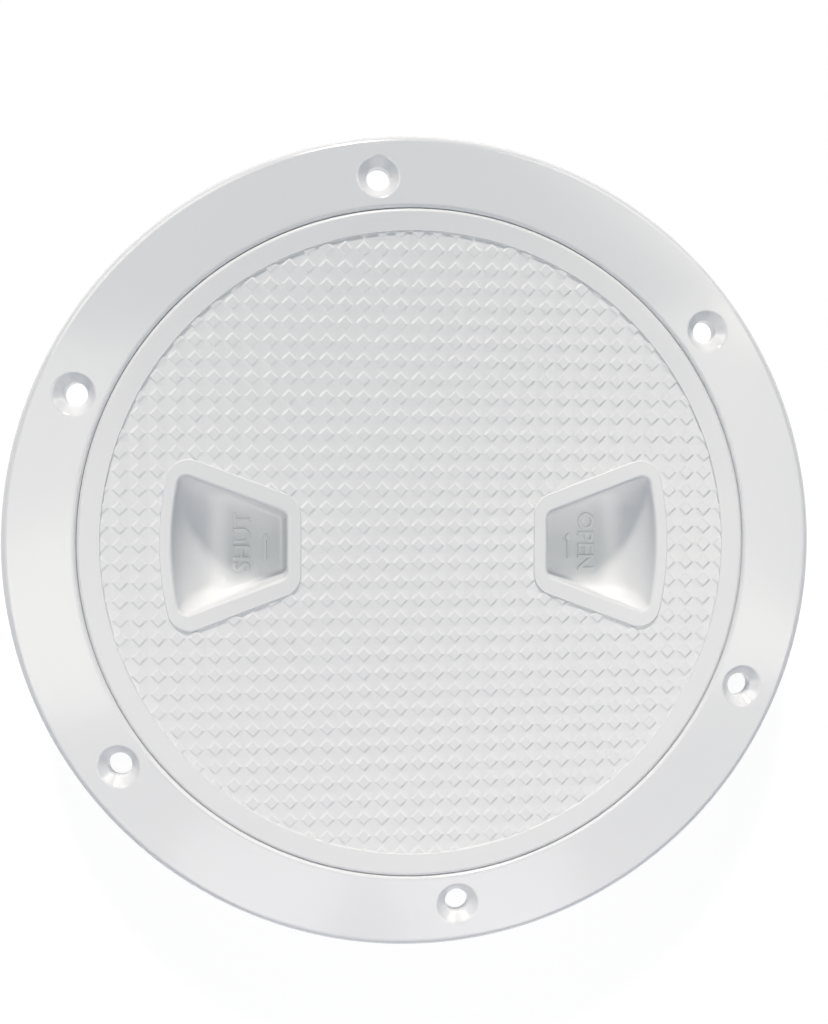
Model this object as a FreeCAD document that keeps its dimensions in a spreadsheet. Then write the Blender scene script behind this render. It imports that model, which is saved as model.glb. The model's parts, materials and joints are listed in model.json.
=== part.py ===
import FreeCAD, Part
import math
import os
import PartDesign
import Sketcher
from FreeCAD import Placement, Rotation, Vector

os.makedirs("parts", exist_ok=True)
doc = FreeCAD.newDocument("DeckInspectionPlate")

# Sizes in millimetres and degrees. Height 0 is the deck surface, under the flange.
sheet = doc.addObject("Spreadsheet::Sheet", "Sizes")
size_names = []


def size(alias, number):
    size_names.append(alias)
    row = len(size_names)
    sheet.set(f"A{row}", alias)
    sheet.set(f"B{row}", str(number))
    sheet.setAlias(f"B{row}", alias)


# Deck ring: flange, lid recess and collar
size("flange_diameter", 200.0)
size("flange_edge_height", 4.0)
size("flange_edge_rounding", 2.2)
size("flange_seam_height", 5.6)
size("recess_diameter", 164.0)
size("recess_lip_rounding", 0.7)
size("bore_diameter", 158.0)
size("collar_wall", 3.5)
size("collar_depth", 20.0)
size("collar_edge_chamfer", 0.8)

# Screw holes in the flange
size("hole_count", 6)
size("hole_circle_diameter", 179.6)
size("hole_diameter", 5.8)
size("countersink_diameter", 10.2)
size("countersink_angle", 90.0)
size("first_hole_angle", 36.3)

# Coarse thread between lid and ring
size("thread_lead", 5.0)
size("thread_height", 1.6)
size("thread_flank_angle", 24.0)
size("thread_radial_clearance", 0.4)
size("thread_axial_clearance", 0.35)
size("thread_root_overlap", 0.5)
size("ring_thread_turns", 2.5)
size("lid_thread_turns", 2.25)
size("ring_thread_below_ledge", 2.2)

# Seal
size("seal_cord", 3.0)
size("seal_clearance", 0.1)

# Lid: rim, field and skirt
size("lid_gap", 0.5)
size("lid_sink", 0.2)
size("lid_edge_rounding", 0.8)
size("rim_thickness", 2.8)
size("rim_under_rounding", 0.4)
size("field_diameter", 152.7)
size("field_depth", 0.55)
size("field_edge_run", 0.2)
size("plate_thickness", 2.6)
size("skirt_wall", 2.4)
size("skirt_below_thread", 0.6)
size("skirt_corner_rounding", 1.5)
size("seal_shoulder_gap", 0.5)

# Finger pockets, measured from the middle of the lid
size("pocket_inner_end", 32.0)
size("pocket_outer_end", 59.6)
size("pocket_inner_half_width", 7.65)
size("pocket_side_angle", 20.6)
size("pocket_bow_radius", 72.0)
size("pocket_depth", 12.0)
size("pocket_cove_radius", 12.0)
size("pocket_end_draft", 1.6)
size("pocket_side_draft", 0.6)
size("pocket_corner_rounding", 2.0)
size("pocket_floor_rounding", 1.2)
size("pocket_lip_rounding", 0.7)
size("pocket_wall", 2.2)
size("border_inner_width", 3.4)
size("border_side_width", 4.4)
size("border_outer_width", 2.8)
size("border_height", 0.6)
size("border_corner_rounding", 5.4)
size("border_edge_rounding", 0.3)
size("pocket_overcut", 1.0)

# Diamond tread pads on the field
size("pad_pitch", 4.48)
size("pad_diagonal", 3.95)
size("pad_height", 0.42)
size("pad_side_run", 0.42)
size("pad_root", 0.1)
size("pad_clearance", 0.3)
doc.recompute()

# Sizes that follow from the ones above, as expressions for the sheet
flange_radius = "Sizes.flange_diameter / 2"
recess_radius = "Sizes.recess_diameter / 2"
bore_radius = "Sizes.bore_diameter / 2"
collar_radius = f"({bore_radius} + Sizes.collar_wall)"
lid_top = "(Sizes.flange_seam_height - Sizes.lid_sink)"
rim_under = f"({lid_top} - Sizes.rim_thickness)"
seal_middle = f"({rim_under} - Sizes.seal_clearance - Sizes.seal_cord / 2)"
ledge_height = f"({seal_middle} - Sizes.seal_cord / 2 - Sizes.seal_clearance)"
seal_radius = f"({recess_radius} - Sizes.seal_clearance - Sizes.seal_cord / 2)"
shoulder_radius = f"({seal_radius} - Sizes.seal_cord / 2 - Sizes.seal_clearance)"
shoulder_end = f"({ledge_height} + Sizes.seal_shoulder_gap)"
rim_radius = f"({recess_radius} - Sizes.lid_gap)"
field_radius = "Sizes.field_diameter / 2"
field_height = f"({lid_top} - Sizes.field_depth)"
plate_under = f"({field_height} - Sizes.plate_thickness)"
ring_crest = f"({bore_radius} - Sizes.thread_height)"
skirt_radius = f"({ring_crest} - Sizes.thread_radial_clearance)"
lid_crest = f"({skirt_radius} + Sizes.thread_height)"
mid_thread = f"(({bore_radius} + {skirt_radius}) / 2)"
ring_thread_length = "Sizes.thread_lead * Sizes.ring_thread_turns"
ring_thread_end = f"({ledge_height} - Sizes.ring_thread_below_ledge)"
ring_thread_start = f"({ring_thread_end} - {ring_thread_length})"
lid_thread_start = f"({ring_thread_start} + Sizes.thread_lead / 2)"
lid_ridge_half = "(Sizes.thread_lead / 4 + Sizes.thread_height / 2)"
skirt_end = f"({lid_thread_start} - {lid_ridge_half} - Sizes.skirt_below_thread)"
border_top = f"({field_height} + Sizes.border_height)"
pocket_floor = f"({border_top} - Sizes.pocket_depth)"
bow_centre = "(Sizes.pocket_outer_end - Sizes.pocket_bow_radius)"


# Edges are found by their place, to this distance
same_place = 0.01


def value(expression):
    return float(sheet.evalExpression(expression))


def origin_plane(body, role):
    return next(item for item in body.Origin.OriginFeatures if item.Role == role)


def body_named(name):
    return doc.addObject("PartDesign::Body", name)


def sketch_on(body, name, role, height="0"):
    """An empty sketch on one of the body's own planes, lifted along the plane's normal."""
    sketch = body.newObject("Sketcher::SketchObject", name)
    sketch.AttachmentSupport = [(origin_plane(body, role), "")]
    sketch.MapMode = "FlatFace"
    sketch.setExpression("AttachmentOffset.Base.z", height)
    return sketch


def place_point(sketch, geometry, position, name, x, y):
    """Ties one point of a sketch to two expressions, measured from the sketch's origin."""
    for kind, axis, expression in (("DistanceX", "x", x), ("DistanceY", "y", y)):
        constraint = Sketcher.Constraint(kind, -1, 1, geometry, position, value(expression))
        index = sketch.addConstraint(constraint)
        sketch.renameConstraint(index, f"{name}_{axis}")
        sketch.setExpression(f"Constraints.{name}_{axis}", expression)


def closed_outline(sketch, points):
    """Straight edges through named points, each point given as two expressions."""
    corners = [Vector(value(x), value(y), 0) for name, x, y in points]
    count = len(corners)
    for i in range(count):
        sketch.addGeometry(Part.LineSegment(corners[i], corners[(i + 1) % count]), False)
    for i in range(count):
        sketch.addConstraint(Sketcher.Constraint("Coincident", i, 2, (i + 1) % count, 1))
    for i, (name, x, y) in enumerate(points):
        place_point(sketch, i, 1, name, x, y)


def revolved(body, name, points):
    """A turned body: the outline in the XZ plane goes once round the Z axis."""
    sketch = sketch_on(body, f"{name}_section", "XZ_Plane")
    closed_outline(sketch, points)
    doc.recompute()
    turned = body.newObject("PartDesign::Revolution", name)
    turned.Profile = (sketch, [""])
    turned.ReferenceAxis = (sketch, ["V_Axis"])
    turned.Angle = 360
    doc.recompute()
    return turned


def circle_edges(shape, radius, height):
    """Names of the full circles round the Z axis at one radius and height."""
    names = []
    for i, edge in enumerate(shape.Edges):
        if not isinstance(edge.Curve, Part.Circle):
            continue
        same_radius = abs(edge.Curve.Radius - radius) < same_place
        same_height = abs(edge.Curve.Center.z - height) < same_place
        if same_radius and same_height:
            names.append(f"Edge{i + 1}")
    return names


def dress(body, kind, name, base, edges, prop, expression):
    """A fillet or chamfer on some edges of the feature before it."""
    feature = body.newObject(f"PartDesign::{kind}", name)
    feature.Base = (base, edges)
    feature.setExpression(prop, expression)
    doc.recompute()
    return feature


def rounded_circle(body, name, base, radius, height, expression):
    edges = circle_edges(base.Shape, value(radius), value(height))
    return dress(body, "Fillet", name, base, edges, "Radius", expression)


def thread_ridge(body, name, root, crest, start, turns):
    """A right-hand trapezoid ridge that climbs round the Z axis from its start height."""
    slope = "tan(Sizes.thread_flank_angle * 1deg)"
    middle_half = "(Sizes.thread_lead / 4 - Sizes.thread_axial_clearance / 2)"
    outwards = 1 if value(crest) > value(root) else -1
    foot = f"({root} - {outwards} * Sizes.thread_root_overlap)"
    foot_half = f"({middle_half} + {slope} * {outwards} * ({mid_thread} - {foot}))"
    crest_half = f"({middle_half} + {slope} * {outwards} * ({mid_thread} - {crest}))"
    sketch = sketch_on(body, f"{name}_profile", "XZ_Plane")
    closed_outline(sketch, [
        ("foot_low", foot, f"{start} - {foot_half}"),
        ("crest_low", crest, f"{start} - {crest_half}"),
        ("crest_high", crest, f"{start} + {crest_half}"),
        ("foot_high", foot, f"{start} + {foot_half}"),
    ])
    doc.recompute()
    ridge = body.newObject("PartDesign::AdditiveHelix", name)
    ridge.Profile = (sketch, [""])
    ridge.ReferenceAxis = (sketch, ["V_Axis"])
    ridge.Mode = "pitch-turns-angle"
    ridge.LeftHanded = False
    ridge.setExpression("Pitch", "Sizes.thread_lead")
    ridge.setExpression("Turns", turns)
    doc.recompute()
    return ridge


# Deck ring: one moulding, turned section first, then its roundings, thread and screw holes
ring = body_named("deck_ring")
flange = revolved(ring, "flange_and_collar", [
    ("bore_end", bore_radius, "-Sizes.collar_depth"),
    ("collar_end", collar_radius, "-Sizes.collar_depth"),
    ("collar_top", collar_radius, "0"),
    ("flange_foot", flange_radius, "0"),
    ("flange_edge", flange_radius, "Sizes.flange_edge_height"),
    ("recess_lip", recess_radius, "Sizes.flange_seam_height"),
    ("recess_foot", recess_radius, ledge_height),
    ("ledge_end", bore_radius, ledge_height),
])
edge_rounding = rounded_circle(ring, "edge_rounding", flange, flange_radius,
                               "Sizes.flange_edge_height", "Sizes.flange_edge_rounding")
lip_rounding = rounded_circle(ring, "lip_rounding", edge_rounding, recess_radius,
                              "Sizes.flange_seam_height", "Sizes.recess_lip_rounding")
collar_edges = circle_edges(lip_rounding.Shape, value(collar_radius), -value("Sizes.collar_depth"))
collar_chamfer = dress(ring, "Chamfer", "collar_chamfer", lip_rounding, collar_edges,
                       "Size", "Sizes.collar_edge_chamfer")
ring_thread = thread_ridge(ring, "ring_thread", bore_radius, ring_crest,
                           ring_thread_start, "Sizes.ring_thread_turns")

# The countersinks are cut from the flange's highest level, so they break through its slope
hole_radius = "Sizes.hole_circle_diameter / 2"
flange_slope = "(Sizes.flange_seam_height - Sizes.flange_edge_height)"
slope_run = f"({flange_radius} - {recess_radius})"
hole_inset = f"({flange_radius} - {hole_radius})"
hole_surface = f"(Sizes.flange_edge_height + {flange_slope} * {hole_inset} / {slope_run})"
cut_above = f"(Sizes.flange_seam_height - {hole_surface})"
hole_sketch = sketch_on(ring, "first_screw_hole", "XY_Plane", "Sizes.flange_seam_height")
first_angle = "(Sizes.first_hole_angle * 1deg)"
hole_x = f"{hole_radius} * cos({first_angle})"
hole_y = f"{hole_radius} * sin({first_angle})"
hole_mark = Part.Circle(Vector(value(hole_x), value(hole_y), 0), Vector(0, 0, 1), value("Sizes.hole_diameter / 2"))
hole_sketch.addGeometry(hole_mark, False)
place_point(hole_sketch, 0, 3, "centre", hole_x, hole_y)
mark_radius = hole_sketch.addConstraint(Sketcher.Constraint("Radius", 0, hole_mark.Radius))
hole_sketch.renameConstraint(mark_radius, "hole_radius")
hole_sketch.setExpression("Constraints.hole_radius", "Sizes.hole_diameter / 2")
doc.recompute()
screw_hole = ring.newObject("PartDesign::Hole", "screw_hole")
screw_hole.Profile = (hole_sketch, [""])
doc.recompute()
screw_hole.ThreadType = "None"
screw_hole.DepthType = "ThroughAll"
screw_hole.HoleCutType = "Countersink"
screw_hole.setExpression("Diameter", "Sizes.hole_diameter")
screw_hole.setExpression("HoleCutCountersinkAngle", "Sizes.countersink_angle")
screw_hole.setExpression("HoleCutDiameter", "Sizes.countersink_diameter"
                         f" + 2 * {cut_above} * tan(Sizes.countersink_angle * 1deg / 2)")
doc.recompute()
screw_holes = ring.newObject("PartDesign::PolarPattern", "screw_holes")
screw_holes.Originals = [screw_hole]
screw_holes.Axis = (hole_sketch, ["N_Axis"])
screw_holes.Angle = 360
screw_holes.setExpression("Occurrences", "Sizes.hole_count")
ring.Tip = screw_holes
doc.recompute()

# O-ring: lies on the ring's ledge, under the lid's rim
seal = doc.addObject("Part::Torus", "o_ring")
seal.setExpression("Radius1", seal_radius)
seal.setExpression("Radius2", "Sizes.seal_cord / 2")
seal.setExpression("Placement.Base.z", seal_middle)
doc.recompute()


# Lid: one moulding. The turned blank comes first, then the finger pockets and the tread.
lid_blank = body_named("lid_blank")
blank = revolved(lid_blank, "rim_plate_and_skirt", [
    ("plate_middle", "0", plate_under),
    ("skirt_root", f"{skirt_radius} - Sizes.skirt_wall", plate_under),
    ("skirt_inside", f"{skirt_radius} - Sizes.skirt_wall", skirt_end),
    ("skirt_outside", skirt_radius, skirt_end),
    ("skirt_top", skirt_radius, shoulder_end),
    ("shoulder_end", shoulder_radius, shoulder_end),
    ("shoulder_top", shoulder_radius, rim_under),
    ("rim_foot", rim_radius, rim_under),
    ("rim_edge", rim_radius, lid_top),
    ("field_edge", field_radius, lid_top),
    ("field_foot", f"{field_radius} - Sizes.field_edge_run", field_height),
    ("field_middle", "0", field_height),
])
top_rounding = rounded_circle(lid_blank, "rim_top_rounding", blank, rim_radius, lid_top,
                              "Sizes.lid_edge_rounding")
foot_rounding = rounded_circle(lid_blank, "rim_foot_rounding", top_rounding, rim_radius, rim_under,
                               "Sizes.rim_under_rounding")
skirt_rounding = rounded_circle(lid_blank, "skirt_rounding", foot_rounding,
                                f"{skirt_radius} - Sizes.skirt_wall", plate_under,
                                "Sizes.skirt_corner_rounding")
lid_thread = thread_ridge(lid_blank, "lid_thread", skirt_radius, lid_crest,
                          lid_thread_start, "Sizes.lid_thread_turns")


def pocket_outline(sketch, grow_inner, grow_side, grow_outer):
    """The pocket's plan: a short inner end, two sides that spread, and a bowed outer end."""
    slope = "tan(Sizes.pocket_side_angle * 1deg)"
    near_x = f"(Sizes.pocket_inner_end - {grow_inner})"
    near_y = (f"(Sizes.pocket_inner_half_width - {grow_inner} * {slope}"
              f" + {grow_side} / cos(Sizes.pocket_side_angle * 1deg))")
    bow = f"(Sizes.pocket_bow_radius + {grow_outer})"
    # The side's line meets the bow where a quadratic in the run along X is zero
    offset = f"({near_x} - {bow_centre})"
    squared = f"(1 + {slope}^2)"
    linear = f"({offset} + {near_y} * {slope})"
    constant = f"({offset}^2 + {near_y}^2 - {bow}^2)"
    run = f"((sqrt({linear}^2 - {squared} * {constant}) - {linear}) / {squared})"
    far_x = f"{near_x} + {run}"
    far_y = f"{near_y} + {run} * {slope}"
    near = Vector(value(near_x), value(near_y), 0)
    far = Vector(value(far_x), value(far_y), 0)
    near_low = Vector(near.x, -near.y, 0)
    far_low = Vector(far.x, -far.y, 0)
    half_angle = math.atan2(far.y, far.x - value(bow_centre))
    circle = Part.Circle(Vector(value(bow_centre), 0, 0), Vector(0, 0, 1), value(bow))
    sketch.addGeometry(Part.LineSegment(near_low, far_low), False)
    sketch.addGeometry(Part.ArcOfCircle(circle, -half_angle, half_angle), False)
    sketch.addGeometry(Part.LineSegment(far, near), False)
    sketch.addGeometry(Part.LineSegment(near, near_low), False)
    for i, j in ((0, 1), (1, 2), (2, 3), (3, 0)):
        sketch.addConstraint(Sketcher.Constraint("Coincident", i, 2, j, 1))
    place_point(sketch, 0, 1, "near_low", near_x, f"-{near_y}")
    place_point(sketch, 0, 2, "far_low", far_x, f"-({far_y})")
    place_point(sketch, 2, 1, "far", far_x, far_y)
    place_point(sketch, 2, 2, "near", near_x, near_y)
    radius = sketch.addConstraint(Sketcher.Constraint("Radius", 1, value(bow)))
    sketch.renameConstraint(radius, "bow")
    sketch.setExpression("Constraints.bow", bow)


def corner_edges(shape):
    """Names of the edges that run up the corners, drafted or not: steeper than 30 degrees."""
    names = []
    for i, edge in enumerate(shape.Edges):
        start, end = edge.Vertexes[0].Point, edge.Vertexes[-1].Point
        rise = abs(end.z - start.z)
        if rise > math.sin(math.radians(30)) * (end - start).Length:
            names.append(f"Edge{i + 1}")
    return names


def edges_in_plane(shape, height):
    """Names of the edges that lie wholly at one height."""
    names = []
    for i, edge in enumerate(shape.Edges):
        box = edge.BoundBox
        if abs(box.ZMin - height) < same_place and abs(box.ZMax - height) < same_place:
            names.append(f"Edge{i + 1}")
    return names


def turned_to(body, side):
    """The pocket on the other side is the same one, turned half round the lid's axis."""
    body.Placement = Placement(Vector(0, 0, 0), Rotation(Vector(0, 0, 1), side))


def pocket_form(name, grow, top, side):
    """The pocket's space, or with a wall round it the outside of its well."""
    form = body_named(name)
    upper = sketch_on(form, f"{name}_opening", "XY_Plane", top)
    pocket_outline(upper, grow, grow, grow)
    lower = sketch_on(form, f"{name}_floor", "XY_Plane", f"{pocket_floor} - {grow}")
    pocket_outline(lower, f"({grow} - Sizes.pocket_end_draft)",
                   f"({grow} - Sizes.pocket_side_draft)", grow)
    doc.recompute()
    drafted = form.newObject("PartDesign::AdditiveLoft", f"{name}_drafted")
    drafted.Profile = (upper, [""])
    drafted.Sections = [(lower, [""])]
    drafted.Ruled = True
    doc.recompute()
    corners = dress(form, "Fillet", f"{name}_corners", drafted, corner_edges(drafted.Shape),
                    "Radius", f"Sizes.pocket_corner_rounding + {grow}")
    floor_edges = edges_in_plane(corners.Shape, value(f"{pocket_floor} - {grow}"))
    dress(form, "Fillet", f"{name}_floor_rounding", corners, floor_edges,
          "Radius", f"Sizes.pocket_floor_rounding + {grow}")
    cove_radius = f"(Sizes.pocket_cove_radius + {grow})"
    cove_end = f"(Sizes.pocket_outer_end + {grow})"
    cove_centre_x = "(Sizes.pocket_outer_end - Sizes.pocket_cove_radius)"
    cove_centre_z = f"({pocket_floor} + Sizes.pocket_cove_radius)"
    cove_floor = f"({pocket_floor} - {grow})"
    below = f"({cove_floor} - Sizes.pocket_overcut)"
    beyond = f"({cove_end} + Sizes.pocket_overcut)"
    cove = sketch_on(form, f"{name}_cove_section", "XZ_Plane")
    points = [
        ("floor", cove_centre_x, cove_floor),
        ("below", cove_centre_x, below),
        ("corner", beyond, below),
        ("beyond", beyond, cove_centre_z),
        ("rim", cove_end, cove_centre_z),
    ]
    corners_at = [Vector(value(x), value(z), 0) for label, x, z in points]
    for i in range(4):
        cove.addGeometry(Part.LineSegment(corners_at[i], corners_at[i + 1]), False)
    middle = Vector(value(cove_centre_x), value(cove_centre_z), 0)
    circle = Part.Circle(middle, Vector(0, 0, 1), value(cove_radius))
    cove.addGeometry(Part.ArcOfCircle(circle, -math.pi / 2, 0), False)
    for i in range(3):
        cove.addConstraint(Sketcher.Constraint("Coincident", i, 2, i + 1, 1))
    cove.addConstraint(Sketcher.Constraint("Coincident", 3, 2, 4, 2))
    cove.addConstraint(Sketcher.Constraint("Coincident", 4, 1, 0, 1))
    for i, (label, x, z) in enumerate(points[:4]):
        place_point(cove, i, 1, label, x, z)
    place_point(cove, 3, 2, "rim", cove_end, cove_centre_z)
    radius = cove.addConstraint(Sketcher.Constraint("Radius", 4, value(cove_radius)))
    cove.renameConstraint(radius, "cove")
    cove.setExpression("Constraints.cove", cove_radius)
    axis_foot = Vector(value(bow_centre), value(below), 0)
    axis_head = Vector(value(bow_centre), value(cove_centre_z), 0)
    cove.addGeometry(Part.LineSegment(axis_foot, axis_head), True)
    place_point(cove, 5, 1, "axis_foot", bow_centre, below)
    place_point(cove, 5, 2, "axis_head", bow_centre, cove_centre_z)
    doc.recompute()
    scoop = form.newObject("PartDesign::Groove", f"{name}_cove")
    scoop.Profile = (cove, [""])
    scoop.ReferenceAxis = (cove, ["Axis0"])
    scoop.Angle = 360
    doc.recompute()
    turned_to(form, side)
    return form


def border_plate(name, side):
    """The raised border round a pocket, before the pocket is cut through it."""
    border = body_named(name)
    foot = f"({field_height} - Sizes.pocket_overcut)"
    plan = sketch_on(border, f"{name}_plan", "XY_Plane", foot)
    pocket_outline(plan, "Sizes.border_inner_width", "Sizes.border_side_width",
                   "Sizes.border_outer_width")
    doc.recompute()
    plate = border.newObject("PartDesign::Pad", f"{name}_plate")
    plate.Profile = (plan, [""])
    plate.setExpression("Length", f"{border_top} - {foot}")
    doc.recompute()
    corners = dress(border, "Fillet", f"{name}_corners", plate, corner_edges(plate.Shape),
                    "Radius", "Sizes.border_corner_rounding")
    top_edges = edges_in_plane(corners.Shape, value(border_top))
    dress(border, "Fillet", f"{name}_top", corners, top_edges, "Radius", "Sizes.border_edge_rounding")
    turned_to(border, side)
    return border


# Each side's name, and its turn round the lid's axis in degrees
sides = {"right": 0, "left": 180}
well_top = f"({field_height} - Sizes.field_depth)"
cavity_top = f"({border_top} + Sizes.pocket_overcut)"
borders = [border_plate(f"{name}_border", turn) for name, turn in sides.items()]
wells = [pocket_form(f"{name}_well", "Sizes.pocket_wall", well_top, turn) for name, turn in sides.items()]
cavities = [pocket_form(f"{name}_cavity", "0", cavity_top, turn) for name, turn in sides.items()]


def combined(kind, name, tools):
    """Joins tool bodies to the lid's blank, or cuts them out of it."""
    feature = lid_blank.newObject("PartDesign::Boolean", name)
    feature.Type = kind
    feature.setObjects(tools)
    doc.recompute()
    return feature


joined = combined("Fuse", "borders_and_wells", borders + wells)
opened = combined("Cut", "pocket_spaces", cavities)


def new_edges(after, before, height):
    """Names of the edges at one height that the last feature made."""
    old = [before.getElement(name).CenterOfMass for name in edges_in_plane(before, height)]
    names = []
    for name in edges_in_plane(after, height):
        middle = after.getElement(name).CenterOfMass
        if all((middle - other).Length > same_place for other in old):
            names.append(name)
    return names


lip_edges = new_edges(opened.Shape, joined.Shape, value(border_top))
lips = dress(lid_blank, "Fillet", "pocket_lips", opened, lip_edges,
             "Radius", "Sizes.pocket_lip_rounding")


def tread_pad():
    """One raised diamond: a low square frustum set cornerwise, rooted a little in the plate."""
    half = value("Sizes.pad_diagonal / 2")
    run = value("Sizes.pad_side_run")
    root = value("Sizes.pad_root")
    foot_half = half + root * run / value("Sizes.pad_height")
    levels = (
        (foot_half, value(f"{field_height} - Sizes.pad_root")),
        (half - run, value(f"{field_height} + Sizes.pad_height")),
    )
    wires = []
    for reach, z in levels:
        corners = [Vector(reach, 0, z), Vector(0, reach, z), Vector(-reach, 0, z), Vector(0, -reach, z)]
        wires.append(Part.makePolygon(corners + [corners[0]]))
    return Part.makeLoft(wires, True, True)


def pad_places():
    """Grid points whose whole pad is clear of the field's edge and of the pocket borders."""
    pitch = value("Sizes.pad_pitch")
    reach = value("Sizes.pad_diagonal / 2 + Sizes.pad_clearance")
    limit = value(f"{field_radius} - Sizes.field_edge_run")
    rows = int(limit / pitch)
    plans = [border.Shape.slice(Vector(0, 0, 1), value(field_height)) for border in borders]
    faces = [Part.Face(wires[0]) for wires in plans]
    places = []
    for column in range(-rows, rows + 1):
        for row in range(-rows, rows + 1):
            x, y = column * pitch, row * pitch
            farthest = max(math.hypot(abs(x) + reach, y), math.hypot(x, abs(y) + reach))
            if farthest > limit:
                continue
            corners = [Vector(x + reach, y, 0), Vector(x, y + reach, 0),
                       Vector(x - reach, y, 0), Vector(x, y - reach, 0)]
            outline = Part.makePolygon(corners + [corners[0]])
            outline.translate(Vector(0, 0, value(field_height)))
            square = Part.Face(outline)
            if all(face.distToShape(square)[0] > 0 for face in faces):
                places.append(Vector(x, y, 0))
    return places


tread = doc.addObject("Part::Feature", "tread_pads")
pad = tread_pad()
tread.Shape = Part.Compound([pad.translated(place) for place in pad_places()])

lid = doc.addObject("Part::Fuse", "screw_lid")
lid.Base = lid_blank
lid.Tool = tread
lid.Refine = False
doc.recompute()

# Every piece is checked before any file is written
for item in doc.Objects:
    if "Invalid" in item.State or "Error" in item.State:
        raise RuntimeError(f"{item.Label} failed: {item.State}")

for piece in (ring, lid, seal):
    shape = piece.Shape
    if shape.isNull() or not shape.isValid() or len(shape.Solids) != 1:
        raise RuntimeError(f"{piece.Label} is not one valid solid")
    shape.exportStep(f"parts/{piece.Label}.step")
    print(f"{piece.Label}: {shape.Volume / 1000:.1f} cm3, {len(shape.Faces)} faces")
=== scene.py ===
import json
import math
import bmesh
import bpy
from mathutils import Matrix, Vector


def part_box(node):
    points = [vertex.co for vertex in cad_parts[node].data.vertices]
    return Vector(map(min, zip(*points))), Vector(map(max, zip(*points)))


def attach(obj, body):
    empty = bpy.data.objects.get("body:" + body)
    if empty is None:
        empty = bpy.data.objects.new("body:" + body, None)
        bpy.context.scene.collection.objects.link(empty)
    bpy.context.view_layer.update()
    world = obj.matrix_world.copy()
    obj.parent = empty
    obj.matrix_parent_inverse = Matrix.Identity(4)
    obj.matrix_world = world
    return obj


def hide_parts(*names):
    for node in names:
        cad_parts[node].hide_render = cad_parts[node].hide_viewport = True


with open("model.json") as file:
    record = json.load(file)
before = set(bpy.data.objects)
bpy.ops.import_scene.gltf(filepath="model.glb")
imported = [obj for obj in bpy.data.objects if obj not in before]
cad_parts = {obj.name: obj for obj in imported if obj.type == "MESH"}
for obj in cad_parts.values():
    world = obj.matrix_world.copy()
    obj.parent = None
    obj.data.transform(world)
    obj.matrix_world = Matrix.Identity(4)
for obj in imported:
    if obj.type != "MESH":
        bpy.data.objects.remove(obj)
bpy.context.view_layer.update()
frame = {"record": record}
mm = 0.001


# Deck ring
# One injection moulding in gloss white ASA plastic: a flange that lies on the deck, a recess for
# the lid and its seal, and a short collar that drops through the deck, with a coarse thread inside.
# Six countersunk screws, not part of the plate, hold it down.
ring_low, ring_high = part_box("deck_ring")
flange_radius = ring_high.x
collar_end = ring_low.z
seam_height = 5.6 * mm
flange_edge_height = 4.0 * mm
flange_edge_rounding = 2.2 * mm
recess_radius = 82.0 * mm
recess_lip_rounding = 0.9 * mm
recess_foot_rounding = 0.25 * mm
ledge_height = -0.6 * mm
bore_radius = 79.0 * mm
collar_radius = 82.5 * mm
collar_chamfer = 0.8 * mm
small_rounding = 0.3 * mm
full_turn = 2 * math.pi
merge_distance = 0.0005 * mm


def choose(piece, kind, test):
    """In edit mode, selects only the vertices, edges or faces that pass the test."""
    mesh = bmesh.from_edit_mesh(piece.data)
    bpy.ops.mesh.select_mode(type={"verts": "VERT", "edges": "EDGE", "faces": "FACE"}[kind])
    bpy.ops.mesh.select_all(action="DESELECT")
    for element in getattr(mesh, kind):
        if test(element):
            element.select_set(True)
    mesh.select_flush_mode()
    bmesh.update_edit_mesh(piece.data)


def drawn_section(name, corners):
    """A closed outline in the XZ plane: one vertex, extruded from corner to corner, then rounded.
    Each corner gives its X, its Z, its rounding radius and the number of steps round it."""
    bpy.ops.object.select_all(action="DESELECT")
    bpy.ops.mesh.primitive_plane_add(size=1 * mm)
    piece = bpy.context.object
    piece.name = name
    bpy.ops.object.mode_set(mode="EDIT")
    bpy.ops.mesh.merge(type="CENTER")
    bpy.ops.transform.translate(value=(corners[0][0], 0, corners[0][1]))
    for here, there in zip(corners, corners[1:] + corners[:1]):
        step = (there[0] - here[0], 0, there[1] - here[1])
        bpy.ops.mesh.extrude_region_move(TRANSFORM_OT_translate={"value": step})
    bpy.ops.mesh.select_all(action="SELECT")
    bpy.ops.mesh.remove_doubles(threshold=merge_distance)
    for i, (x, z, rounding, steps) in enumerate(corners):
        if rounding == 0:
            continue
        corner = Vector((x, 0, z))
        after_at = corners[(i + 1) % len(corners)]
        before = Vector((corners[i - 1][0], 0, corners[i - 1][1])) - corner
        after = Vector((after_at[0], 0, after_at[1])) - corner
        setback = rounding / math.tan(before.angle(after) / 2)
        choose(piece, "verts", lambda v: (v.co - corner).length < merge_distance)
        bpy.ops.mesh.bevel(affect="VERTICES", offset=setback, segments=steps, clamp_overlap=False)
    return piece


def finished(piece):
    """Closes seams, turns every face outwards and leaves edit mode."""
    bpy.ops.mesh.select_mode(type="VERT")
    bpy.ops.mesh.select_all(action="SELECT")
    bpy.ops.mesh.remove_doubles(threshold=merge_distance)
    bpy.ops.mesh.normals_make_consistent(inside=False)
    bpy.ops.object.mode_set(mode="OBJECT")
    return piece


def turned(name, corners, steps=192):
    """A turned piece: its section goes once round the Z axis."""
    piece = drawn_section(name, corners)
    bpy.ops.mesh.select_all(action="SELECT")
    bpy.ops.mesh.spin(steps=steps, angle=full_turn, center=(0, 0, 0), axis=(0, 0, 1))
    return finished(piece)


def combine(piece, tool, operation):
    """Joins a tool piece to this one, or cuts it out of it, and removes the tool."""
    bpy.ops.object.select_all(action="DESELECT")
    bpy.context.view_layer.objects.active = piece
    piece.select_set(True)
    modifier = piece.modifiers.new(operation, "BOOLEAN")
    modifier.operation = operation
    modifier.solver = "EXACT"
    modifier.object = tool
    bpy.ops.object.modifier_apply(modifier=modifier.name)
    bpy.data.objects.remove(tool)


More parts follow.
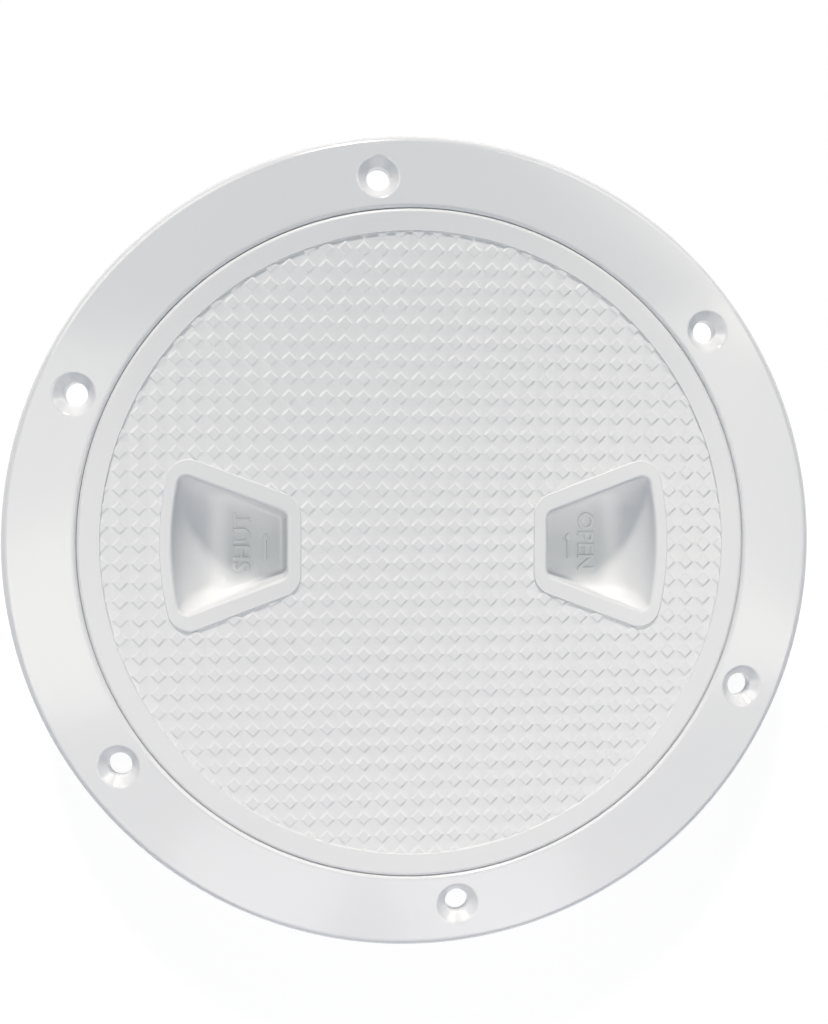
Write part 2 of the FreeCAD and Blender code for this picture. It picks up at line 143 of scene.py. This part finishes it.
deck_ring = turned("deck_ring_moulding", [
    (bore_radius, collar_end, small_rounding, 2),
    (collar_radius, collar_end, collar_chamfer, 1),
    (collar_radius, 0, 0, 0),
    (flange_radius, 0, small_rounding, 2),
    (flange_radius, flange_edge_height, flange_edge_rounding, 8),
    (recess_radius, seam_height, recess_lip_rounding, 5),
    (recess_radius, ledge_height, recess_foot_rounding, 2),
    (bore_radius, ledge_height, small_rounding, 3),
])

# The ring's thread, whose lead is how far the record's coupling lifts the lid in one turn. The lid's
# ridge is made the same way and climbs between this one's turns.
thread_lead = frame["record"]["behaviour"]["couplings"][0]["ratio"] * 2 * math.pi
thread_height = 1.6 * mm
thread_overlap = 0.5 * mm
flank_slope = math.tan(math.radians(24.0))
radial_clearance = 0.4 * mm
axial_clearance = 0.35 * mm
skirt_radius = bore_radius - thread_height - radial_clearance
mid_thread = (bore_radius + skirt_radius) / 2
ring_thread_turns = 2.5
ring_thread_below_ledge = 2.2 * mm
ring_thread_start = ledge_height - ring_thread_below_ledge - ring_thread_turns * thread_lead
thread_steps_per_turn = 96


def thread_ridge(name, root, crest, start, turns):
    """A right-hand ridge with sloped flanks, screwed up round the Z axis, with closed ends."""
    outwards = 1 if crest > root else -1
    foot = root - outwards * thread_overlap
    middle_half = thread_lead / 4 - axial_clearance / 2
    foot_half = middle_half + flank_slope * outwards * (mid_thread - foot)
    crest_half = middle_half + flank_slope * outwards * (mid_thread - crest)
    piece = drawn_section(name, [
        (foot, start - foot_half, 0, 0),
        (crest, start - crest_half, small_rounding, 3),
        (crest, start + crest_half, small_rounding, 3),
        (foot, start + foot_half, 0, 0),
    ])
    bpy.ops.object.mode_set(mode="OBJECT")
    climb = piece.modifiers.new("climb", "SCREW")
    climb.axis = "Z"
    climb.angle = full_turn * turns
    climb.screw_offset = thread_lead * turns
    climb.steps = round(thread_steps_per_turn * turns)
    climb.render_steps = climb.steps
    bpy.ops.object.modifier_apply(modifier=climb.name)
    bpy.ops.object.mode_set(mode="EDIT")
    bpy.ops.mesh.select_all(action="SELECT")
    bpy.ops.mesh.fill_holes(sides=0)
    return finished(piece)


ring_thread = thread_ridge("ring_thread", bore_radius, bore_radius - thread_height,
                           ring_thread_start, ring_thread_turns)
combine(deck_ring, ring_thread, "UNION")

# Screw holes: one countersink cutter with a rounded rim, copied round the record's bolt circle
bolt_circle = next(m for m in frame["record"]["mounts"] if m["name"] == "screw_holes")["dims"]
hole_circle_radius = bolt_circle["pcd_mm"] / 2 * mm
hole_radius = bolt_circle["hole_r_mm"] * mm
hole_count = bolt_circle["count"]
first_hole_angle = math.radians(36.3)
countersink_radius = 5.1 * mm
flange_slope = (seam_height - flange_edge_height) / (flange_radius - recess_radius)
hole_surface = flange_edge_height + flange_slope * (flange_radius - hole_circle_radius)
cut_beyond = 1.0 * mm
cone_foot = hole_surface - (countersink_radius - hole_radius)
cutter_top = seam_height + cut_beyond
rim_rounding = 1.0 * mm
rim_flare = 2.0 * mm
rim_rise = 0.1 * mm
rim_sink = 0.02 * mm
cutter = turned("countersink_cutter", [
    (0, -cut_beyond, 0, 0),
    (hole_radius, -cut_beyond, 0, 0),
    (hole_radius, cone_foot, small_rounding, 3),
    (countersink_radius, hole_surface - rim_sink, rim_rounding, 6),
    (countersink_radius + rim_flare, hole_surface + rim_rise, 0, 0),
    (countersink_radius + rim_flare, cutter_top, 0, 0),
    (0, cutter_top, 0, 0),
], steps=64)
# The rounded rim leans with the flange's sloping top. Run from a script, transform.rotate turns
# the other way than its value says.
bpy.ops.object.mode_set(mode="EDIT")
choose(cutter, "verts", lambda v: v.co.z > (cone_foot + hole_surface) / 2)
bpy.ops.transform.rotate(value=-math.atan(flange_slope), orient_axis="Y",
                         center_override=(0, 0, hole_surface))
bpy.ops.mesh.select_all(action="SELECT")
bpy.ops.transform.translate(value=(hole_circle_radius, 0, 0))
bpy.ops.transform.rotate(value=-first_hole_angle, orient_axis="Z", center_override=(0, 0, 0))
for i in range(hole_count - 1):
    bpy.ops.mesh.duplicate()
    bpy.ops.transform.rotate(value=full_turn / hole_count, orient_axis="Z", center_override=(0, 0, 0))
bpy.ops.object.mode_set(mode="OBJECT")
combine(deck_ring, cutter, "DIFFERENCE")


def linear(hex_colour):
    """An sRGB hex colour as the linear red, green, blue and alpha that a shader takes."""
    parts = [int(hex_colour[i:i + 2], 16) / 255 for i in (0, 2, 4)]
    return [p / 12.92 if p <= 0.04045 else ((p + 0.055) / 1.055) ** 2.4 for p in parts] + [1]


def add_node(material, kind, inputs=None, **settings):
    """Adds one node with its own settings, and its inputs as values or as links."""
    made = material.node_tree.nodes.new(kind)
    for name, setting in settings.items():
        setattr(made, name, setting)
    for socket, value in (inputs or {}).items():
        if isinstance(value, bpy.types.NodeSocket):
            material.node_tree.links.new(value, made.inputs[socket])
        else:
            made.inputs[socket].default_value = value
    return made


def surface(name, colours, roughness, ior, flow_size, bumps):
    """A plain material that is never quite even: two close colours and a roughness drift together
    in patches of the flow size, over bumps that each have a size and a height."""
    material = bpy.data.materials.new(name)
    material.use_nodes = True
    shader = material.node_tree.nodes["Principled BSDF"]
    shader.inputs["IOR"].default_value = ior
    place = add_node(material, "ShaderNodeTexCoord").outputs["Object"]
    cloudy = {"Vector": place, "Detail": 2.0, "Roughness": 0.5}
    flow = add_node(material, "ShaderNodeTexNoise", {**cloudy, "Scale": 1 / flow_size}).outputs["Fac"]
    colour = add_node(material, "ShaderNodeMix", {"Factor": flow, "A": linear(colours[0]),
                                                  "B": linear(colours[1])}, data_type="RGBA")
    # Most of the noise lies between 0.3 and 0.7
    gloss = add_node(material, "ShaderNodeMapRange",
                     {"Value": flow, "From Min": 0.3, "From Max": 0.7,
                      "To Min": roughness[0], "To Max": roughness[1]})
    links = material.node_tree.links
    links.new(colour.outputs["Result"], shader.inputs["Base Color"])
    links.new(gloss.outputs["Result"], shader.inputs["Roughness"])
    relief = None
    for size, height in bumps:
        grain = add_node(material, "ShaderNodeTexNoise", {**cloudy, "Scale": 1 / size}).outputs["Fac"]
        inputs = {"Height": grain, "Distance": height, "Strength": 1.0}
        if relief:
            inputs["Normal"] = relief
        relief = add_node(material, "ShaderNodeBump", inputs).outputs["Normal"]
    links.new(relief, shader.inputs["Normal"])
    return material


sharpest_smooth_edge = math.radians(32)


def dressed(piece, material, body, node):
    """Smooths a finished piece, gives it its material and hands it over in place of its CAD node."""
    piece.data.materials.clear()
    piece.data.materials.append(material)
    bpy.ops.object.select_all(action="DESELECT")
    piece.select_set(True)
    bpy.context.view_layer.objects.active = piece
    bpy.ops.object.shade_smooth_by_angle(angle=sharpest_smooth_edge)
    flats_first = piece.modifiers.new("flats_first", "WEIGHTED_NORMAL")
    flats_first.mode = "FACE_AREA"
    flats_first.keep_sharp = True
    bpy.ops.object.modifier_apply(modifier=flats_first.name)
    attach(piece, body)
    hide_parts(node)


# ASA straight from a polished mould: a clean white with a clear gloss, very slightly wavy where
# the plastic has shrunk, with a fine grain
ring_plastic = surface("ASA_polished_moulded_white", colours=("F2F3F4", "EEF0F1"),
                       roughness=(0.13, 0.17), ior=1.52, flow_size=28 * mm,
                       bumps=((9 * mm, 0.01 * mm), (0.5 * mm, 0.0003 * mm)))
dressed(deck_ring, ring_plastic, body="ring", node="deck_ring")


# Rubber seal
# A moulded nitrile rubber O-ring, matt black, that lies on the ring's ledge under the lid's rim.
# Its mould leaves a fine flash line round its outside and its inside.
seal_low, seal_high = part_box("o_ring")
seal_cord = seal_high.z - seal_low.z
seal_middle = (seal_high.z + seal_low.z) / 2
seal_radius = seal_high.x - seal_cord / 2
flash_height = 0.04 * mm
flash_half_width = 0.12 * mm
cord_steps = 40
seal_steps = 160

bpy.ops.object.select_all(action="DESELECT")
bpy.ops.mesh.primitive_circle_add(vertices=cord_steps, radius=seal_cord / 2,
                                  rotation=(math.pi / 2, 0, 0), location=(seal_radius, 0, seal_middle))
seal = bpy.context.object
seal.name = "rubber_seal"
bpy.ops.object.transform_apply(location=True, rotation=True)
bpy.ops.object.mode_set(mode="EDIT")
for side in (-1, 1):
    equator = Vector((seal_radius + side * seal_cord / 2, 0, seal_middle))
    choose(seal, "verts", lambda v: (v.co - equator).length < flash_half_width / 2)
    bpy.ops.mesh.bevel(affect="VERTICES", offset=flash_half_width, segments=2, profile=1.0)
    choose(seal, "verts", lambda v: (v.co - equator).length < flash_half_width / 2)
    bpy.ops.transform.translate(value=(side * flash_height, 0, 0))
bpy.ops.mesh.select_all(action="SELECT")
bpy.ops.mesh.spin(steps=seal_steps, angle=full_turn, center=(0, 0, 0), axis=(0, 0, 1))
finished(seal)

# Nitrile rubber as moulded: nearly black, matt, with a greyish bloom in patches and a fine grain
rubber = surface("nitrile_rubber_matt_black", colours=("1B1B1C", "2A2A2A"),
                 roughness=(0.6, 0.8), ior=1.5, flow_size=3 * mm,
                 bumps=((0.6 * mm, 0.02 * mm), (0.1 * mm, 0.004 * mm)))
dressed(seal, rubber, body="seal", node="o_ring")


# Lid
# One injection moulding in the same white plastic: a stiff rim, a thin plate with a diamond tread,
# a threaded skirt below, and two finger pockets that turn it. The turned blank comes first.
lid_low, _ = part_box("screw_lid")
lid_gap = 0.08 * mm
lid_sink = 0.2 * mm
field_depth = 0.55 * mm
rim_thickness = 2.8 * mm
plate_thickness = 2.6 * mm
skirt_wall = 2.4 * mm
seal_clearance = 0.1 * mm
seal_shoulder_gap = 0.5 * mm
rim_radius = recess_radius - lid_gap
lid_top = seam_height - lid_sink
field_height = lid_top - field_depth
rim_under = lid_top - rim_thickness
lid_edge_rounding = 1.1 * mm
rim_foot_rounding = 0.4 * mm
field_radius = 76.35 * mm
field_edge_run = 0.2 * mm
plate_under = field_height - plate_thickness
skirt_inside = skirt_radius - skirt_wall
skirt_end = lid_low.z
shoulder_radius = seal_radius - seal_cord / 2 - seal_clearance
shoulder_end = ledge_height + seal_shoulder_gap
skirt_corner_rounding = 1.5 * mm
fine_rounding = 0.12 * mm

lid = turned("lid_moulding", [
    (0, plate_under, 0, 0),
    (skirt_inside, plate_under, skirt_corner_rounding, 5),
    (skirt_inside, skirt_end, small_rounding, 3),
    (skirt_radius, skirt_end, small_rounding, 3),
    (skirt_radius, shoulder_end, 0, 0),
    (shoulder_radius, shoulder_end, small_rounding, 2),
    (shoulder_radius, rim_under, 0, 0),
    (rim_radius, rim_under, rim_foot_rounding, 3),
    (rim_radius, lid_top, lid_edge_rounding, 7),
    (field_radius, lid_top, fine_rounding, 2),
    (field_radius - field_edge_run, field_height, fine_rounding, 2),
    (0, field_height, 0, 0),
])

# Diamond tread: one low pad, repeated on a square grid. What is taller cuts the outermost ones short.
pad_pitch = 4.48 * mm
pad_half_diagonal = 2.2 * mm
pad_height = 0.32 * mm
pad_side_run = 0.72 * mm
pad_root = 0.01 * mm
pad_corner_rounding = 0.1 * mm
pad_edge_rounding = 0.12 * mm
pads_per_side = 2 * int(rim_radius / pad_pitch) + 1
pad_foot = pad_half_diagonal + pad_root * pad_side_run / pad_height
pad_crown = pad_half_diagonal - pad_side_run
first_pad = -(pads_per_side - 1) / 2 * pad_pitch
tread_reach = field_radius + pad_half_diagonal / 2
facing = 0.99


def in_field(face):
    """Whether a face is part of the flat field between the pads."""
    height = face.calc_center_median().z
    return face.normal.z > facing and abs(height - field_height) < merge_distance


# The fans of thin faces round the axis become one face each. The field is then parted into one
# square for each pad, so that no face has to hold hundreds of holes.
bpy.ops.object.mode_set(mode="EDIT")
choose(lid, "verts", lambda v: v.co.xy.length < merge_distance)
bpy.ops.mesh.dissolve_verts()
for across in (Vector((1, 0, 0)), Vector((0, 1, 0))):
    for i in range(pads_per_side + 1):
        choose(lid, "faces", in_field)
        bpy.ops.mesh.bisect(plane_co=across * (first_pad + (i - 0.5) * pad_pitch), plane_no=across,
                            threshold=merge_distance / 10)
bpy.ops.object.mode_set(mode="OBJECT")

bpy.ops.object.select_all(action="DESELECT")
pad_middle = field_height + (pad_height - pad_root) / 2
bpy.ops.mesh.primitive_cone_add(vertices=4, radius1=pad_foot, radius2=pad_crown,
                                depth=pad_height + pad_root, location=(first_pad, first_pad, pad_middle))
tread = bpy.context.object
tread.name = "tread_pads"
bpy.ops.object.transform_apply(location=True)
bpy.ops.object.mode_set(mode="EDIT")
choose(tread, "edges", lambda e: abs(e.verts[0].co.z - e.verts[1].co.z) > pad_height / 2)
bpy.ops.mesh.bevel(offset=pad_corner_rounding, segments=1, affect="EDGES")
crown_height = field_height + pad_height
choose(tread, "edges", lambda e: min(v.co.z for v in e.verts) > crown_height - merge_distance)
bpy.ops.mesh.bevel(offset=pad_edge_rounding, segments=1, affect="EDGES")
bpy.ops.object.mode_set(mode="OBJECT")
for step in ((pad_pitch, 0, 0), (0, pad_pitch, 0)):
    row = tread.modifiers.new("row", "ARRAY")
    row.use_relative_offset = False
    row.use_constant_offset = True
    row.constant_offset_displace = step
    row.count = pads_per_side
    bpy.ops.object.modifier_apply(modifier=row.name)


def pad_centre(place):
    """The middle of the grid square that a point lies in."""
    return Vector((round(place.x / pad_pitch), round(place.y / pad_pitch))) * pad_pitch


bpy.ops.object.mode_set(mode="EDIT")
choose(tread, "verts", lambda v: pad_centre(v.co).length > tread_reach)
bpy.ops.mesh.delete(type="VERT")
bpy.ops.object.mode_set(mode="OBJECT")
combine(lid, tread, "UNION")

# Finger pockets: a raised border on top, a well below, and the pocket itself cut through both
pocket_inner_end = 32.0 * mm
pocket_outer_end = 59.6 * mm
pocket_half_width = 7.65 * mm
pocket_side_angle = math.radians(20.6)
bow_radius = 72.0 * mm
bow_centre = pocket_outer_end - bow_radius
border_height = 0.6 * mm
border_top = field_height + border_height
pocket_depth = 12.0 * mm
pocket_floor = border_top - pocket_depth
cove_radius = 14.0 * mm
end_draft = 0.6 * mm
side_draft = 0.6 * mm
pocket_corner_rounding = 2.0 * mm
corner_rounding_at_floor = 1.2 * mm
cove_corner_rounding = 3.6 * mm
floor_rounding = 1.8 * mm
lip_rounding = 0.9 * mm
lip_turn = math.radians(84)
pocket_wall = 2.2 * mm
well_top = field_height - (lid_top - field_height)
level_face = 0.999999
overcut = 1.0 * mm
bow_steps = 14
corner_steps = 6
cove_steps = 26
lip_steps = 5


def pocket_plan(inner, side, outer, rounding, bow_rounding):
    """The pocket's outline from above, grown by a width at its inner end, its sides and its bow, with
    one rounding for the corners at its inner end and one for those at its bow."""
    along = Vector((math.cos(pocket_side_angle), math.sin(pocket_side_angle)))
    across = Vector((-along.y, along.x))
    side_line = across.dot(Vector((pocket_inner_end, pocket_half_width))) + side
    near_x = pocket_inner_end - inner + rounding
    near = Vector((near_x, (side_line - rounding - across.x * near_x) / across.y))
    bow = Vector((bow_centre, 0))
    rise = side_line - bow_rounding - across.dot(bow)
    reach = bow_radius + outer - bow_rounding
    far = bow + along * math.sqrt(reach ** 2 - rise ** 2) + across * rise
    bow_half = math.atan2(far.y, far.x - bow.x)
    side_turn = math.pi / 2 + pocket_side_angle
    upper = []
    for centre, radius, start, end, steps in (
            (bow, bow_radius + outer, 0, bow_half, bow_steps),
            (far, bow_rounding, bow_half, side_turn, corner_steps),
            (near, rounding, side_turn, math.pi, corner_steps)):
        first_step = 1 if centre == far else 0
        for i in range(first_step, steps + 1):
            angle = start + (end - start) * i / steps
            upper.append(centre + radius * Vector((math.cos(angle), math.sin(angle))))
    lower = [Vector((p.x, -p.y)) for p in reversed(upper[1:])]
    return upper + lower


def lofted(name, levels):
    """A closed form through plans from the lowest to the highest: a sphere's rings take the plans."""
    count = len(levels[0][0])
    rings = len(levels) + 1
    bpy.ops.object.select_all(action="DESELECT")
    bpy.ops.mesh.primitive_uv_sphere_add(segments=count, ring_count=rings, radius=1)
    piece = bpy.context.object
    piece.name = name
    for vertex in piece.data.vertices:
        ring = rings - round(math.acos(max(-1, min(1, vertex.co.z))) / math.pi * rings)
        plan, height = levels[min(max(ring, 1), len(levels)) - 1]
        if ring in (0, rings):
            middle = sum(plan, Vector((0, 0))) / count
            vertex.co = (middle.x, middle.y, height)
        else:
            place = plan[round(math.atan2(vertex.co.y, vertex.co.x) / full_turn * count) % count]
            vertex.co = (place.x, place.y, height)
    bpy.ops.object.mode_set(mode="EDIT")
    choose(piece, "verts", lambda v: all(abs(f.normal.z) > level_face for f in v.link_faces))
    bpy.ops.mesh.dissolve_verts()
    return finished(piece)


def pocket_form(name, grow, top, lip=0):
    """The pocket's space, or with a wall round it the outside of its well: a flat floor with rounded
    edges, steep sides, and a bow end that sweeps up in a cove. A lip opens its top edge outwards."""
    bottom = pocket_floor - grow
    curve = cove_radius + grow
    centre_height = pocket_floor + cove_radius
    foot = floor_rounding + grow
    lip_start = top if lip == 0 else border_top - lip
    last_turn = math.acos((centre_height - lip_start) / curve)
    turns = [last_turn * i / cove_steps for i in range(cove_steps + 1)]
    heights = [(centre_height - curve * math.cos(turn), 0) for turn in turns]
    if lip:
        for i in range(1, lip_steps + 1):
            turn = lip_turn * i / lip_steps
            heights.append((lip_start + lip * math.sin(turn), lip * (1 - math.cos(turn))))
        heights.append((top, heights[-1][1]))
    levels = []
    for height, flare in heights:
        # The draft and the rounding round the floor pull the walls in, and the cove pulls in the bow
        share = 1 - (height - bottom) / (top - bottom)
        above = min(height - bottom, foot)
        inset = foot - math.sqrt(foot ** 2 - (foot - above) ** 2)
        drop = min(max(centre_height - height, 0), curve)
        bow_inset = cove_radius - math.sqrt(curve ** 2 - drop ** 2)
        rounding = max(pocket_corner_rounding + grow - inset, corner_rounding_at_floor) + flare
        # The bow's corners widen smoothly over the upper half of the depth
        down = min(2 * (border_top - height) / pocket_depth, 1) if height < border_top else 0
        widened = (cove_corner_rounding - pocket_corner_rounding) * down * down * (3 - 2 * down)
        levels.append((pocket_plan(grow - end_draft * share - inset + flare,
                                   grow - side_draft * share - inset + flare,
                                   -bow_inset + flare, rounding, rounding + widened), height))
    return lofted(name, levels)


def on_both_sides(piece):
    """Adds the same form turned half round the lid's axis."""
    bpy.ops.object.mode_set(mode="EDIT")
    bpy.ops.mesh.select_all(action="SELECT")
    bpy.ops.mesh.duplicate()
    bpy.ops.transform.rotate(value=math.pi, orient_axis="Z", center_override=(0, 0, 0))
    bpy.ops.object.mode_set(mode="OBJECT")
    return piece


border_inner_width = 3.4 * mm
border_side_width = 4.4 * mm
border_outer_width = 2.8 * mm
border_corner_rounding = 5.4 * mm
border_steps = 3
border_levels = []
for i in range(border_steps + 2):
    turn = math.pi / 2 * max(i - 1, 0) / border_steps
    inset = small_rounding * (1 - math.cos(turn))
    height = field_height - overcut if i == 0 else border_top - small_rounding * (1 - math.sin(turn))
    border_levels.append((pocket_plan(border_inner_width - inset, border_side_width - inset,
                                      border_outer_width - inset, border_corner_rounding - inset,
                                      border_corner_rounding - inset), height))
combine(lid, on_both_sides(lofted("pocket_borders", border_levels)), "UNION")
combine(lid, on_both_sides(pocket_form("pocket_wells", pocket_wall, well_top)), "UNION")
cavities = pocket_form("pocket_cavities", 0, border_top + overcut, lip_rounding)
combine(lid, on_both_sides(cavities), "DIFFERENCE")

# Raised words and arrows on the pocket floors say which way the lid turns
word_length = 15.0 * mm
word_height = 4.0 * mm
word_raised = 0.45 * mm
word_sunk = 0.25 * mm
word_edge = 0.16 * mm
word_middle = pocket_floor + (word_raised - word_sunk) / 2
open_word_place = 44.4 * mm
shut_word_place = -43.6 * mm
open_arrow_place = 40.0 * mm
shut_arrow_place = -37.9 * mm
arrow_shaft_width = 0.7 * mm
arrow_head_width = 2.2 * mm
arrow_head_length = 1.6 * mm
arrow_point_share = 0.2
arrow_start = -4.3 * mm
arrow_end = 2.2 * mm


def raised_word(text, place, turn):
    """A word in plain capitals with bevelled edges, made solid and set into a pocket's floor."""
    bpy.ops.object.select_all(action="DESELECT")
    bpy.ops.object.text_add()
    word = bpy.context.object
    word.data.body = text
    word.data.align_x = "CENTER"
    word.data.align_y = "CENTER"
    word.data.resolution_u = 3
    bpy.context.view_layer.update()
    word.data.size = word_height / word.dimensions.y
    word.data.bevel_depth = word_edge
    word.data.bevel_resolution = 0
    word.data.extrude = (word_raised + word_sunk) / 2 - word_edge
    bpy.ops.object.convert(target="MESH")
    bpy.ops.object.mode_set(mode="EDIT")
    bpy.ops.mesh.select_all(action="SELECT")
    bpy.ops.transform.resize(value=(word_length / word.dimensions.x, 1, 1), center_override=(0, 0, 0))
    bpy.ops.object.mode_set(mode="OBJECT")
    word.location = (place, 0, word_middle)
    word.rotation_euler = (0, 0, turn)
    bpy.ops.object.transform_apply(location=True, rotation=True)
    bpy.ops.object.mode_set(mode="EDIT")
    return finished(word)


def raised_arrow(place):
    """A shaft along Y with a pointed head: a block whose end is extruded, widened and closed up."""
    bpy.ops.object.select_all(action="DESELECT")
    shaft_end = arrow_end - arrow_head_length
    size = (arrow_shaft_width, shaft_end - arrow_start, word_raised + word_sunk)
    middle = (place, (arrow_start + shaft_end) / 2, word_middle)
    bpy.ops.mesh.primitive_cube_add(size=1, location=middle, scale=size)
    arrow = bpy.context.object
    bpy.ops.object.transform_apply(location=True, scale=True)
    bpy.ops.object.mode_set(mode="EDIT")
    choose(arrow, "faces", lambda f: f.normal.y > facing)
    bpy.ops.mesh.extrude_region_move()
    bpy.ops.transform.resize(value=(arrow_head_width / arrow_shaft_width, 1, 1),
                             center_override=(place, 0, 0))
    bpy.ops.mesh.extrude_region_move(TRANSFORM_OT_translate={"value": (0, arrow_head_length, 0)})
    bpy.ops.transform.resize(value=(arrow_point_share, 1, 1), center_override=(place, 0, 0))
    bpy.ops.mesh.select_all(action="SELECT")
    bpy.ops.mesh.remove_doubles(threshold=merge_distance)
    choose(arrow, "faces", lambda f: f.normal.z > facing)
    bpy.ops.mesh.region_to_loop()
    bpy.ops.mesh.bevel(offset=word_edge, segments=1, affect="EDGES")
    return finished(arrow)


for mark in (raised_word("OPEN", open_word_place, -math.pi / 2),
             raised_word("SHUT", shut_word_place, math.pi / 2),
             raised_arrow(open_arrow_place), raised_arrow(shut_arrow_place)):
    combine(lid, mark, "UNION")

# The lid's thread starts half a lead above the ring's
lid_thread_turns = 2.25
lid_thread = thread_ridge("lid_thread", skirt_radius, skirt_radius + thread_height,
                          ring_thread_start + thread_lead / 2, lid_thread_turns)
combine(lid, lid_thread, "UNION")
bpy.ops.object.mode_set(mode="EDIT")
finished(lid)

# The same ASA from another mould, a shade duller
lid_plastic = surface("ASA_moulded_white", colours=("ECEDEE", "E8EAEB"),
                      roughness=(0.34, 0.4), ior=1.52, flow_size=28 * mm,
                      bumps=((9 * mm, 0.008 * mm), (0.5 * mm, 0.0005 * mm)))
dressed(lid, lid_plastic, body="lid", node="screw_lid")


# Floor, light and camera
# A paper floor that shows white but keeps the plate's soft shadow, and the photograph's viewpoint.
# A low key lamp beyond the picture's top edge gives the shadows, and weak ones at its foot, overhead
# and at both sides fill them. Six panels are only seen in the gloss, all round the plate.
floor_width = 8.0
floor_white = 1.1
floor_white_share = 0.82
floor_gap = 0.05 * mm
sky_light = (0.148, 0.192, 0.225, 1)

bpy.ops.object.select_all(action="DESELECT")
bpy.ops.mesh.primitive_plane_add(size=floor_width, location=(0, 0, collar_end - floor_gap))
floor = bpy.context.object
floor.name = "floor"
paper = bpy.data.materials.new("white_paper_floor")
paper.use_nodes = True
paper.node_tree.nodes.remove(paper.node_tree.nodes["Principled BSDF"])
ray = add_node(paper, "ShaderNodeLightPath").outputs
seen = add_node(paper, "ShaderNodeMath", {0: ray["Is Camera Ray"], 1: ray["Is Glossy Ray"]},
                operation="MAXIMUM")
share = add_node(paper, "ShaderNodeMath", {0: seen.outputs[0], 1: floor_white_share},
                 operation="MULTIPLY")
matt = add_node(paper, "ShaderNodeBsdfDiffuse", {"Color": linear("F2F2F2")})
white = add_node(paper, "ShaderNodeEmission", {"Color": linear("FFFFFF"), "Strength": floor_white})
mixed = add_node(paper, "ShaderNodeMixShader",
                 {0: share.outputs[0], 1: matt.outputs[0], 2: white.outputs[0]})
paper.node_tree.links.new(mixed.outputs[0], paper.node_tree.nodes["Material Output"].inputs["Surface"])
floor.data.materials.append(paper)

# The world lights the plate as a dim bluish room, and the camera sees it white
scene = bpy.context.scene
scene.view_settings.view_transform = "Standard"
world = bpy.data.worlds.new("studio")
scene.world = world
world.use_nodes = True
ray = add_node(world, "ShaderNodeLightPath").outputs
sky = add_node(world, "ShaderNodeMix", {"Factor": ray["Is Camera Ray"], "A": sky_light,
                                        "B": (floor_white, floor_white, floor_white, 1)},
               data_type="RGBA")
world.node_tree.links.new(sky.outputs["Result"], world.node_tree.nodes["Background"].inputs["Color"])


def lamp(name, azimuth, elevation, distance, size, power, colour, lights=True, reflects=True):
    """A square soft lamp that looks at the plate's middle. Angles are in degrees, lengths in metres
    and power in watts, and azimuth 0 is above the picture's top. It lights surfaces, is reflected by
    their gloss, or does both."""
    bpy.ops.object.select_all(action="DESELECT")
    turn, rise = math.radians(azimuth), math.radians(elevation)
    across = math.cos(rise)
    place = Vector((across * math.sin(turn), across * math.cos(turn), math.sin(rise))) * distance
    aim = (-place).to_track_quat("-Z", "Y").to_euler()
    bpy.ops.object.light_add(type="AREA", location=place, rotation=aim)
    made = bpy.context.object
    made.name = name
    made.data.size = size
    made.data.energy = power
    made.data.color = linear(colour)[:3]
    made.visible_diffuse = lights
    made.visible_glossy = reflects


# The panel at the plate's right is a little brighter than the one at its left
lamp_white = "FFF6EF"
panel_white = "FFF9EE"
lamp("key_lamp", azimuth=-6, elevation=28, distance=3.0, size=0.34, power=69.0, colour=lamp_white)
lamp("top_lamp", azimuth=0, elevation=86, distance=1.2, size=0.4, power=0.75, colour="FFFAF5",
     reflects=False)
lamp("front_lamp", azimuth=180, elevation=35, distance=0.4, size=0.3, power=0.52, colour="FFF4F5")
for side in (-1, 1):
    lamp("side_lamp", azimuth=side * 90, elevation=22, distance=0.26, size=0.1, power=0.025,
         colour=lamp_white)
    lamp("side_panel", azimuth=side * 90 - 3, elevation=64, distance=1.0, size=0.6,
         power=3.5 + 0.2 * side, colour=panel_white, lights=False)
    lamp("front_panel", azimuth=side * 138, elevation=50, distance=1.0, size=0.8, power=4.5,
         colour=panel_white, lights=False)
    lamp("back_panel", azimuth=side * 42, elevation=37, distance=1.0, size=0.6, power=4.2,
         colour=panel_white, lights=False)

# The viewpoint was fitted to the outlines of the flange, the seam and the six holes
camera_place = Vector((-22.5, 14.3, 250.0)) * mm
camera_aim = Vector((-0.72, 7.87, 0.0)) * mm
camera_roll = -0.0015
focal_pixels = 1006
image_height = 1024
sensor_width = 36.0
nearest_seen = 0.01
bpy.ops.object.select_all(action="DESELECT")
bpy.ops.object.camera_add(location=camera_place)
camera = bpy.context.object
backwards = (camera_place - camera_aim).normalized()
sideways = Vector((math.sin(camera_roll), math.cos(camera_roll), 0)).cross(backwards).normalized()
upwards = backwards.cross(sideways)
camera.rotation_euler = Matrix((sideways, upwards, backwards)).transposed().to_euler()
camera.data.sensor_width = sensor_width
camera.data.lens = focal_pixels / image_height * sensor_width
camera.data.clip_start = nearest_seen
scene.camera = camera
